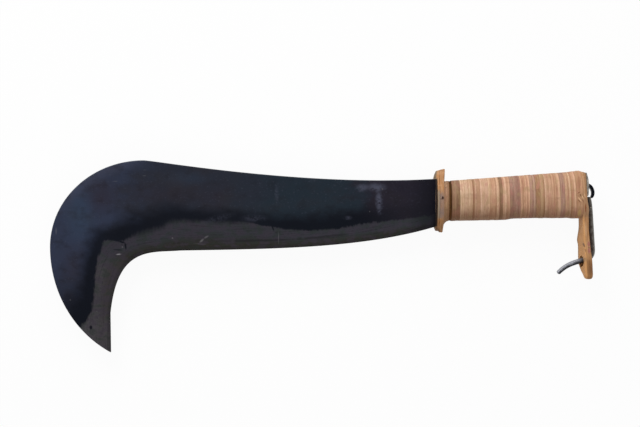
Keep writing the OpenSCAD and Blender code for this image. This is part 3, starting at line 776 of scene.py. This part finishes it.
x = GUARD_T
add_piece("collar_washer",
          [washer(x, COLLAR_SHARE * WASHER_T, 1.0, 0, flare=0.0030, dish=DISH)],
          collar_skin.material, "collar")
x += COLLAR_SHARE * WASHER_T
add_piece("dark_spacer", [washer(x, SPACER_SHARE * WASHER_T, 1.0, 0, SPACER_SINK)],
          spacer_skin.material, "spacer")
x += SPACER_SHARE * WASHER_T
count = 0
for tone, washers, share, lightness, line in BANDS:
    for k in range(washers):
        count += 1
        own = lightness * (1 + random.uniform(-0.05, 0.05))
        add_piece(f"grip_washer_{count:02d}",
                  [washer(x, share * WASHER_T, own, 0 if k else line)],
                  finishes[tone], f"washer_{count:02d}")
        x += share * WASHER_T
for k in range(2):
    add_piece(f"pommel_leather_{k + 1}",
              [washer(x, CAP_SHARE * WASHER_T, (0.97, 1.02)[k], 0)],
              pommel_skin.material, f"pommel_washer_{k + 1}")
    x += CAP_SHARE * WASHER_T

# Tail
# Two leathers close the stack. Each is cut in one with a tongue that hangs below the grip, and
# a slanting hole through both takes the belt hook. The tongue has warped and swollen in use, its
# end is cut off at a slant, and its edge keeps the marks of the knife.
TAIL_PLY, TAIL_DROP, TAIL_HALF, TAIL_FILLET = 0.0028, 0.0775, 0.010, 0.006
TIP_FRONT, TIP_BACK = 0.0015, 0.0010
HOLE_DROP, HOLE_R, HOLE_SLANT = 0.0606, 0.0042, math.radians(22)
POMMEL_HALF = (POMMEL_UP + POMMEL_DOWN) / 2
CORNER_ROUND, SLANT_FOOT, SLANT_RISE, SLANT_SOFT = 0.0028, 0.0060, 0.0145, 0.0022
TWIST = math.radians(6.5)
LUMP_V, LUMP_ABOVE, LUMP_BELOW = -0.0415, 0.0060, 0.0034
FRONT_MOUTH, BACK_MOUTH, PULLED = 0.0015, 0.0005, 0.0016


def tongue_side(above, half, slanted):
    """Reach of one side of the tongue at each height above its end. The near side has a round
    corner. The far side is a straight slant, blended into the full width."""
    if not slanted:
        gap = np.clip(CORNER_ROUND - above, 0, CORNER_ROUND)
        return half - CORNER_ROUND + np.sqrt(CORNER_ROUND**2 - gap**2)
    slant = above * (half + SLANT_FOOT) / SLANT_RISE - SLANT_FOOT
    near = np.clip(0.5 + 0.5 * (half - slant) / SLANT_SOFT, 0, 1)
    return lerp(half, slant, near) - SLANT_SOFT * near * (1 - near)


def tail_outline(inset, count=170):
    """Outline of the tail's leathers as (z, v) points: the pommel's oval, hollows of 6 mm, and a
    tongue with a slanted end. It is worked out as the reach of both sides for each height and is
    smoothed where oval and tongue meet. It is then walked up the near side and down the far side,
    through the same heights."""
    turn = np.linspace(0, math.pi, 4000)
    top, low = POMMEL_HALF - inset, inset - TAIL_DROP
    v = lerp(low, top, (1 - np.cos(turn)) / 2)
    oval = (POMMEL_HALF * SIDE_SHARE - inset) * np.clip(
        1 - np.abs(v / top) ** GRIP_SQUARE, 0, 1) ** (1 / GRIP_SQUARE)
    join = np.where(v < 0, TAIL_FILLET * 0.5, 1e-6)
    sides = []
    for slanted in (False, True):
        tongue = tongue_side(v - low, TAIL_HALF - inset, slanted)
        held = np.where(v < 0, tongue, 0)
        blend = np.clip(0.5 + 0.5 * (held - oval) / join, 0, 1)
        reach = lerp(oval, held, blend) + join * blend * (1 - blend)
        sides.append(np.where(v < -top, tongue, reach))
    run = sum(np.hypot(np.diff(side), np.diff(v)) for side in sides)
    run = np.concatenate([[0], np.cumsum(run)])
    even = np.linspace(0, run[-1], count)
    height, near, far = (np.interp(even, run, row) for row in (v, *sides))
    near[-1] = far[-1] = 0
    return np.vstack([np.stack([near, height], -1), np.stack([-far, height], -1)[::-1]])


def tail_leather(u, rounded_back, swell, phase):
    """One leather of the tail: rings from a line down the middle of its front face over the rim
    to the same line on its back face. The swell pushes the front face forward, most in one lump.
    The top and the sides of the pommel are rounded off to the back, the tip is worn round, and
    the tongue twists, with its near side going back."""
    share, inset = rim_profile(TAIL_PLY, 0.0005, rounded_back, 4)
    share, inset = share[2:-2, 0], inset[2:-2, 0]
    rows = np.stack([tail_outline(i) for i in inset])
    rows[..., 0] += 0.00012 * np.sin(rows[..., 1] * 330 + phase) * np.sign(rows[..., 0])
    spine = rows * (0, 1)
    spine[..., 1] = np.clip(spine[..., 1], 0.004 - TAIL_DROP, 0.004)
    spine[..., 0] = 0.005 * smooth(spine[..., 1], 0.018 - TAIL_DROP, 0.006 - TAIL_DROP)
    front = lerp(spine[:1], rows[:1], np.array([0, 0.35, 0.7, 0.93])[:, None, None])
    back = lerp(rows[-1:], spine[-1:], np.array([0.07, 0.3, 0.65, 1])[:, None, None])
    rows = np.concatenate([front, rows, back])
    share = np.concatenate([np.zeros(4), share, np.ones(4)])[:, None]
    z, v = rows[..., 0], rows[..., 1]
    depth = (u + share * TAIL_PLY) / TAIL_T
    v = v + (0.0004 - 0.0028 * depth + 0.0013 * depth**2) * np.clip(v / POMMEL_HALF, 0, 1) ** 4
    worn = np.where(depth < 0.5, TIP_FRONT, TIP_BACK) * np.abs(2 * depth - 1) ** 3
    v = v + worn * smooth(v, 0.010 - TAIL_DROP, 0.0005 - TAIL_DROP)
    low = np.clip((-0.018 - v) / 0.05, 0, 1)
    lump = np.exp(-((v - LUMP_V) / np.where(v < LUMP_V, LUMP_BELOW, LUMP_ABOVE)) ** 2)
    away = u + share * TAIL_PLY - (1 - share) * (swell * low**1.3 + 0.5 * swell * lump)
    domed = smooth(np.abs(z), 0.006, 0.0155) * smooth(v, -0.016, -0.004)
    shaved = smooth(z, 0.002, 0.009) * np.exp(-((v + 0.041) / 0.012) ** 2)
    away = away - depth**2 * (0.0018 * domed + 0.0011 * shaved)
    away = away + 0.0004 * depth * smooth(v, -0.052, -0.060)
    twist = TWIST * smooth(v, -0.026, -0.044)
    across = away - TAIL_T / 2
    at = behind(TAIL_T / 2 + across * np.cos(twist) + z * np.sin(twist), v)
    return ring_mesh(np.dstack([at, z * np.cos(twist) - across * np.sin(twist)]), capped=False)


def cut_away(piece, rings):
    """Takes the closed shape of the rings out of the piece."""
    mesh = ring_mesh(rings)
    tool = bpy.data.objects.new("cutter", mesh)
    scene.collection.objects.link(tool)
    shape = bmesh.new()
    shape.from_mesh(mesh)
    face_outward(shape)
    shape.to_mesh(mesh)
    shape.free()
    cutter = piece.modifiers.new("cut", "BOOLEAN")
    cutter.operation, cutter.solver, cutter.object = "DIFFERENCE", "EXACT", tool
    cut = bpy.data.meshes.new_from_object(
        piece.evaluated_get(bpy.context.evaluated_depsgraph_get()))
    piece.modifiers.clear()
    piece.data = cut
    bpy.data.objects.remove(tool)
    shade_smooth(cut)


def hole_rings():
    """A slanting round hole through the tail, wider at its worn mouths, and most on the near side
    of the front one."""
    run = np.linspace(-0.006, 0.012, 25)[:, None]
    turn = np.linspace(0, 2 * math.pi, 48, endpoint=False)[None, :]
    gape = np.exp(-((run + 0.0014) / 0.0020) ** 2)
    radius = HOLE_R + FRONT_MOUTH * gape + BACK_MOUTH * np.exp(-((run - 0.0062) / 0.001) ** 2)
    u = run * math.cos(HOLE_SLANT) - radius * np.cos(turn) * math.sin(HOLE_SLANT)
    v = -HOLE_DROP + run * math.sin(HOLE_SLANT) + radius * np.cos(turn) * math.cos(HOLE_SLANT)
    pulled = PULLED * gape * np.clip(np.sin(turn), 0, 1)
    return np.dstack([behind(u, v), radius * np.sin(turn) + pulled])


TOP_LIGHT, ORANGE, LOW_BROWN, BACK_EDGE, LIT_FACE, FAR_RIM = (
    "#ab876a", "#a0652f", "#8f6339", "#84603c", "#cc9762", "#80602f")
# Stains, rubbed places, cracks and cuts on the near edge, and painted shade beside the hole's
# mouth, listed as on the pommel
TAIL_MARKS = [
    (0.6, "#85492a", (134.8, -7.4, 0.8, 5.4, 3, 0.9)),
    (0.6, "#d8ae86", (133.7, 4.1, 3.2, 0.6, -67, 0.7)),
    (0.8, "#a0652f", (133.1, -26.6, 0.7, 11, 2, 0.5)),
    (0.8, "#d8ae86", (136.1, -27, 1.9, 10, 3, 0.5)),
    (0.6, "#a86c60", (138.9, -40.3, 1.9, 3.2, 3, 0.9), (139.3, -46.2, 1.9, 3.6, 3, 0.9)),
    # Painted shade beside the hole's mouth
    (0.8, "#8f7355", (135.4, -54.4, 2.4, 3.2, 0, 0.6)),
    (0.8, "#805a3a", (138.5, -57, 2.6, 3.8, 0, 0.6), (139.8, -64, 3.4, 7, 4, 0.9)),
    (0.8, "#6e4a30", (140.9, -61.2, 1.2, 11, 3, 0.7)),
    (0.6, "#5f4636", (134.8, -41.4, 0.5, 2.8, 15, 0.8), (135.7, -46, 0.5, 2.3, 8, 0.7),
     (138.9, -43.5, 1.6, 0.5, -23, 0.7))]
tail_skin = leather("tail_leather", "#855a36", "#b28358", "#c79c74")[0]
tail_x, tail_y, tail_z = tail_skin.axes()
patches = tail_skin.noise((260, 110, 200), 3.0, 31.0)
low = tail_y.fade(-0.012, -0.02)
outward = (tail_x - GRIP_END) * math.cos(LEAN) + (tail_y - GRIP_MID) * math.sin(LEAN)
back_edge = (outward + (patches - 0.5) * 0.002).fade(0.0018, 0.0036)
front_face = (outward + (patches - 0.5) * 0.0010 - tail_z * 0.09).fade(0.0008, 0.0) * low
tail_skin.over(
    ((1 - low) * 0.5, TOP_LIGHT),
    (patches, 0.52, 0.72, 0.5, ORANGE),
    (tail_y, -0.050, -0.060, 0.8, LOW_BROWN),
    (back_edge * tail_y.fade(0.004, 0.012, 0.75), BACK_EDGE),
    # The front face painted lighter, as painted light
    (front_face * 0.8, LIT_FACE),
    (front_face * tail_z.fade(-0.0055, -0.0090, 0.6), FAR_RIM))
mark_near(tail_skin, tail_z.fade(0, 0.003), TAIL_MARKS)
for name, u, rounded_back, swell, node in (
        ("tail_leather_inner", 0.0, 0.0004, 0.0018, "tail_inner"),
        ("tail_leather_outer", TAIL_PLY, 0.0018, 0.0, "tail_outer")):
    piece = add_piece(name, [tail_leather(u, rounded_back, swell, 1 + u * 900)],
                      tail_skin.material, node)
    cut_away(piece, hole_rings())

# End plate
# A small iron plate with rounded corners on the pommel. The tang comes out through it and is
# bent over, so that it spreads the pull over the leather.
PLATE_UP, PLATE_HALF, PLATE_DOME, PLATE_THINNED = 0.020, 0.0075, 0.0007, 0.0006
IRON_DARK, IRON_GREY, IRON_PALE, RUST_AND_SHADE = "#15161b", "#76726c", "#b0aca4", "#241509"


def iron(name):
    """Forged iron: dark scale in clouds and fine pits. Gives its Finish, clouds and pits."""
    metal = Finish(name, {"Specular IOR Level": 0.3})
    return (metal, metal.noise((260, 260, 260), 4.0, 1.0),
            metal.noise((1700, 1700, 1700), 3.0, 6.0))


plate_metal, cloud, pits = iron("plate_iron")
plate_metal.shade(
    Base_Color=plate_metal.coats(
        IRON_GREY,
        (cloud, 0.35, 0.65, IRON_PALE),
        (pits, 0.55, 0.7, 0.5, RUST_AND_SHADE),
        (plate_metal.axes()[1], 0.0222, 0.0236, 0.7, RUST_AND_SHADE)),
    Roughness=0.4 + pits * 0.3,
    Metallic=cloud.fade(0.2, 0.5, 0.6),
    Normal=plate_metal.bump(pits, 0.0002, 0.6))


def plate_rings():
    """The plate: rings of a rounded rectangle from the tang's slot over the rim and back. The
    rectangle is a superellipse of the seventh power. The middle of its back is a little domed,
    and its top is hammered thinner."""
    share, inset = rim_profile(PLATE_T, 0.0001, 0.0004, 2)
    high = (PLATE_UP + PLATE_DOWN) / 2
    c, s = np.cos(ANGLES)[None], np.sin(ANGLES)[None]
    inset = np.minimum(inset, 0.003)
    reach = np.abs(c / (PLATE_HALF - inset)) ** 7 + np.abs(s / (high - inset)) ** 7
    reach = reach ** (-1 / 7)
    v = (PLATE_UP - PLATE_DOWN) / 2 + reach * s
    dome = PLATE_DOME * np.clip(1 - (reach * s / high) ** 2, 0, 1) ** 2
    thinned = PLATE_THINNED * smooth(v, 0.012, PLATE_UP)
    rim = np.dstack([behind(TAIL_T + share * (PLATE_T + dome - thinned), v), reach * c])
    reach = 1 / np.maximum(np.abs(s) / (CLENCH_T / 2 + SLOT_ROOM),
                           np.abs(c) / (TANG_HALF + SLOT_ROOM))
    front, back = (np.dstack([behind(u + 0 * s, CLENCH_V + reach * s), reach * c])
                   for u in (TAIL_T, TAIL_T + PLATE_T + PLATE_DOME))
    return np.concatenate([front, rim, back])


add_piece("end_plate_iron", [ring_mesh(plate_rings(), joined=True)], plate_metal.material,
          "end_plate")

# Belt hook
# One forged bar. Its thin top is caught under the clenched tang, it runs down the tail's back,
# turns through the slanting hole and ends in a blunt prong that hangs on a belt.
TONGUE_TOP, STRAP_FULL, HOOK_HALF = 0.0039, 0.0054, 0.003
PRONG_T, PRONG_TIP_T, PRONG_REACH, PRONG_DROP, PLATE_GAP = 0.0050, 0.0037, 0.0238, 0.0107, 0.0006
hook_metal, cloud, pits = iron("hook_iron")
# How far along the bar a place lies, and how far it faces out from the bar's bend
hook_along, hook_out = hook_metal.attribute("along"), hook_metal.attribute("outward")
on_prong = hook_along.fade(0.66, 0.72)
# The prong: a painted lit top of pale iron, and painted shade underneath
prong_colour = hook_metal.coats(
    "#8f9097", (hook_out + (cloud - 0.5) * 0.6, -0.25, 0.15, IRON_DARK))
# A painted highlight near the top of the strap
top_glint = hook_metal.mark((0.1428, -0.0069, 0), (0.0020, 0.0004, 0.02), 5)
hook_metal.shade(
    Base_Color=hook_metal.coats(
        # Rust on the side against the leather, also painted dark there as shade; grey iron on the
        # outer side
        RUST_AND_SHADE,
        (hook_out + (cloud - 0.5) * 0.8, -0.15, 0.45, IRON_GREY),
        (on_prong, prong_colour),
        (pits.fade(0.5, 0.7) * (0.45 - on_prong * 0.3), IRON_DARK),
        # Painted shade on the prong's root, where it comes out of the hole
        (on_prong * hook_along.fade(0.78, 0.70, 0.8), RUST_AND_SHADE),
        (top_glint * 0.7, IRON_PALE)),
    Roughness=0.46 + pits * 0.25 - on_prong * 0.08,
    Metallic=0.2 + on_prong * 0.3,
    Normal=hook_metal.bump(pits * 0.6 + cloud * 0.4, 0.0003, 0.6))

top = -PLATE_DOWN - PLATE_GAP
turn_v = TAIL_T * math.tan(HOLE_SLANT) - HOLE_DROP
down = np.linspace(top, turn_v + 0.0075, 70)
fallen = (top - down) / (top - down[-1])
thick = TONGUE_TOP + (STRAP_FULL - TONGUE_TOP) * (1 - np.exp(-(top - down) / 0.0042))
thick = thick + 0.0004 * fallen
strap = np.stack([TAIL_T + thick / 2, down], -1)
round_bend = bezier([strap[-1], (TAIL_T + 0.0027, turn_v + 0.0034),
                     (TAIL_T + 0.0022, turn_v + 0.0018),
                     (TAIL_T - 0.0006, turn_v - 0.0002)], np.linspace(0, 1, 26)[1:])
prong = bezier([round_bend[-1], (-0.0030, -HOLE_DROP - 0.0013),
                (-0.57 * PRONG_REACH, -HOLE_DROP - 0.03 * PRONG_DROP),
                (-PRONG_REACH, -HOLE_DROP - PRONG_DROP)], np.linspace(0, 1, 50)[1:])
hook_line = np.vstack([strap, round_bend, prong])
run = run_along(hook_line)
run /= run[-1]
thick = np.concatenate([thick, np.linspace(thick[-1], PRONG_T, len(round_bend)),
                        np.linspace(PRONG_T, PRONG_TIP_T, len(prong))])
wide = lerp(HOOK_HALF, 0.82 * HOOK_HALF, np.clip((run - 0.7) / 0.3, 0, 1))
ends = rounded_ends(run, 0.008, 0.007)
hook_rings = swept_bar(behind(hook_line[:, 0], hook_line[:, 1]), thick / 2 * ends, wide * ends, 4.0)
turn = (np.arange(BAR_FACETS) * 2 + 1) * math.pi / BAR_FACETS
add_piece("belt_hook_iron", [ring_mesh(hook_rings, marks={
    "along": np.repeat(run[:, None], BAR_FACETS, 1),
    "outward": np.broadcast_to(np.cos(turn), hook_rings.shape[:2])})],
    hook_metal.material, "belt_hook")

# Floor, lamps and camera
# A plain white floor under the guard, soft studio light from the blade's back, and a camera
# straight above. Camera, mirror and glass rays see the floor and the sky as plain white.
FLOOR_Z, FLOOR_HALF, FLOOR_WHITE, SKY_LIGHT = -0.0222, 3, 0.94, 0.47
CAMERA_X, CAMERA_Y, CAMERA_Z, SEEN_WIDTH = -0.1063, -0.0124, 1.13, 0.5888


def seen(tree):
    """1 for rays from the camera, a mirror or glass, and 0 for the others."""
    path = add_node(tree, "ShaderNodeLightPath", output="Is Camera Ray")
    return path.math("MAXIMUM", path.math("MAXIMUM", path, path.beside("Is Glossy Ray")),
                     path.beside("Is Transmission Ray"))


floor_paint = Finish("floor_white", {"Base Color": (0.8, 0.8, 0.8, 1), "Roughness": 0.9,
                                     "Specular IOR Level": 0.0})
lit = floor_paint.node("ShaderNodeMixShader", inputs={
    0: seen(floor_paint.tree) * FLOOR_WHITE, 1: Number(floor_paint.shader.outputs[0]),
    2: floor_paint.node("ShaderNodeEmission")})
surface = next(n for n in floor_paint.tree.nodes if n.type == "OUTPUT_MATERIAL").inputs["Surface"]
floor_paint.tree.links.new(lit.socket, surface)
floor = bpy.data.meshes.new("floor")
floor.from_pydata([(x * FLOOR_HALF, y * FLOOR_HALF, FLOOR_Z)
                   for x, y in ((-1, -1), (1, -1), (1, 1), (-1, 1))], [], [(0, 1, 2, 3)])
floor.materials.append(floor_paint.material)
floor_object = bpy.data.objects.new("floor", floor)
scene.collection.objects.link(floor_object)

world = bpy.data.worlds.new("studio")
world.use_nodes = True
scene.world = world
sky = next(n for n in world.node_tree.nodes if n.type == "BACKGROUND")
sky.inputs["Color"].default_value = (1, 1, 1, 1)
world.node_tree.links.new((SKY_LIGHT + seen(world.node_tree) * (1 - SKY_LIGHT)).socket,
                          sky.inputs["Strength"])


def add_lamp(name, at, aim, size, power):
    """A square area lamp at a point, turned to its aim."""
    data = bpy.data.lights.new(name, "AREA")
    data.shape, data.size, data.energy = "SQUARE", size, power
    lamp = bpy.data.objects.new(name, data)
    lamp.location = at
    lamp.rotation_euler = (Vector(aim) - lamp.location).to_track_quat("-Z", "Y").to_euler()
    scene.collection.objects.link(lamp)


add_lamp("key", (-0.55, 0.95, 0.90), (-0.05, 0, 0), 0.8, 11.5)
add_lamp("low", (-0.1, 1.2, 0.35), (-0.05, 0, 0), 0.8, 5)
add_lamp("fill", (0.1, -0.9, 1.3), (-0.05, 0, 0), 1.1, 3.6)

camera = bpy.data.cameras.new("camera")
camera.angle = 2 * math.atan(SEEN_WIDTH / 2 / CAMERA_Z)
eye = bpy.data.objects.new("camera", camera)
eye.location = (CAMERA_X, CAMERA_Y, CAMERA_Z)
scene.collection.objects.link(eye)
scene.camera = eye
scene.view_settings.view_transform = "Standard"
